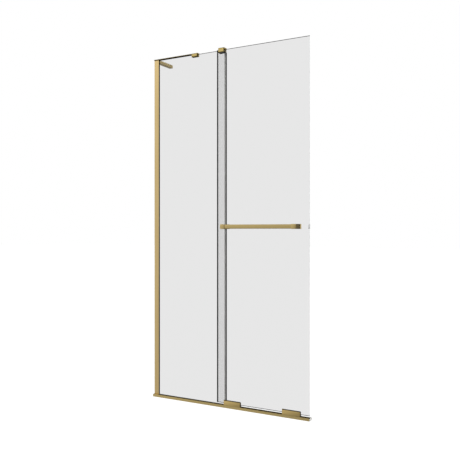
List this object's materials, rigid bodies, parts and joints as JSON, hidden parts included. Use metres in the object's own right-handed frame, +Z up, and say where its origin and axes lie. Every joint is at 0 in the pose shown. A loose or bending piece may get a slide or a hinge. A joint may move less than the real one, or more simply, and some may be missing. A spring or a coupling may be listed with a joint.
{
  "type": "sliding walk-in shower screen",
  "caption": "Walk-in shower screen: fixed clear pane in a brass-tone wall profile, and a sliding pane with horizontal towel-bar handle on bottom rollers in a low track.",
  "frame": {"origin": "centre of the base track's underside, where the screen stands on the tray", "axes": "+X along the screen away from the wall, +Y from the room side to the shower side, +Z up"},
  "size_m": [1.005, 0.221, 2.0085],
  "materials": {
    "gold_profile": "brushed and anodised, brass tone",
    "gold_fitting": "brushed and anodised, brass tone, cast or machined",
    "clear_glass": "clear toughened glass, polished edges",
    "dark_seal": "matt flexible seal",
    "clear_seal": "soft translucent bumper",
    "grey_gasket": "matt glazing gasket",
    "nylon": "moulded nylon",
    "steel": "stainless steel",
    "bush_bronze": "sintered bearing bush"
  },
  "bodies": {
    "fixed_screen": {"base_track": "gold_profile", "track_corner_block": "gold_fitting", "track_end_cap": "nylon", "track_dowels": "steel", "track_infill_strip": "gold_profile", "glass_setting_strip": "grey_gasket", "track_gaskets": "grey_gasket", "roller_stop_left": "dark_seal", "roller_stop_right": "dark_seal", "wall_profile": "gold_profile", "profile_channel": "gold_profile", "profile_gaskets": "grey_gasket", "profile_lock_screws": "steel", "fixed_glass": "clear_glass", "fixed_edge_seal": "dark_seal", "stabiliser_bar": "gold_profile", "stabiliser_wall_arm": "gold_fitting", "stabiliser_lap_screw": "gold_fitting", "glass_clamp": "gold_fitting", "glass_clamp_pads": "grey_gasket", "glass_clamp_grub_screws": "steel", "top_guide": "gold_fitting", "top_guide_liner": "nylon", "top_guide_pads": "grey_gasket", "top_guide_grub_screws": "steel"},
    "sliding_panel": {"sliding_glass": "clear_glass", "sliding_edge_seal": "dark_seal", "edge_bumper": "clear_seal", "handle_bar": "gold_profile", "handle_standoff_left": "gold_fitting", "handle_standoff_right": "gold_fitting", "handle_inner_cap_left": "gold_fitting", "handle_inner_cap_right": "gold_fitting", "handle_studs": "steel", "handle_sleeves": "nylon", "handle_washers": "nylon", "left_carrier_cover": "gold_fitting", "left_carrier_back_plate": "gold_fitting", "left_carrier_pads": "grey_gasket", "left_carrier_roller_frame": "nylon", "left_carrier_screws": "steel", "left_carrier_axles": "steel", "right_carrier_cover": "gold_fitting", "right_carrier_back_plate": "gold_fitting", "right_carrier_pads": "grey_gasket", "right_carrier_roller_frame": "nylon", "right_carrier_screws": "steel", "right_carrier_axles": "steel"},
    "left_roller_1_body": {"left_roller_1": "nylon", "left_roller_1_bush": "bush_bronze"},
    "left_roller_2_body": {"left_roller_2": "nylon", "left_roller_2_bush": "bush_bronze"},
    "right_roller_1_body": {"right_roller_1": "nylon", "right_roller_1_bush": "bush_bronze"},
    "right_roller_2_body": {"right_roller_2": "nylon", "right_roller_2_bush": "bush_bronze"}
  },
  "joints": [
    {"name": "panel_slide", "type": "slide", "parent": "fixed_screen", "child": "sliding_panel", "axis": [-1, 0, 0], "range_m": [0, 0.408]},
    {"name": "left_roller_1_spin", "type": "hinge", "parent": "sliding_panel", "child": "left_roller_1_body", "pos_m": [0.0015, -0.0065, 0.017], "axis": [0, -1, 0], "continuous": true},
    {"name": "left_roller_2_spin", "type": "hinge", "parent": "sliding_panel", "child": "left_roller_2_body", "pos_m": [0.0735, -0.0065, 0.017], "axis": [0, -1, 0], "continuous": true},
    {"name": "right_roller_1_spin", "type": "hinge", "parent": "sliding_panel", "child": "right_roller_1_body", "pos_m": [0.3595, -0.0065, 0.017], "axis": [0, -1, 0], "continuous": true},
    {"name": "right_roller_2_spin", "type": "hinge", "parent": "sliding_panel", "child": "right_roller_2_body", "pos_m": [0.4315, -0.0065, 0.017], "axis": [0, -1, 0], "continuous": true}
  ],
  "couplings": [
    {"joint": "left_roller_1_spin", "follows": "panel_slide", "rad_per_m": 192.31},
    {"joint": "left_roller_2_spin", "follows": "panel_slide", "rad_per_m": 192.31},
    {"joint": "right_roller_1_spin", "follows": "panel_slide", "rad_per_m": 192.31},
    {"joint": "right_roller_2_spin", "follows": "panel_slide", "rad_per_m": 192.31}
  ]
}
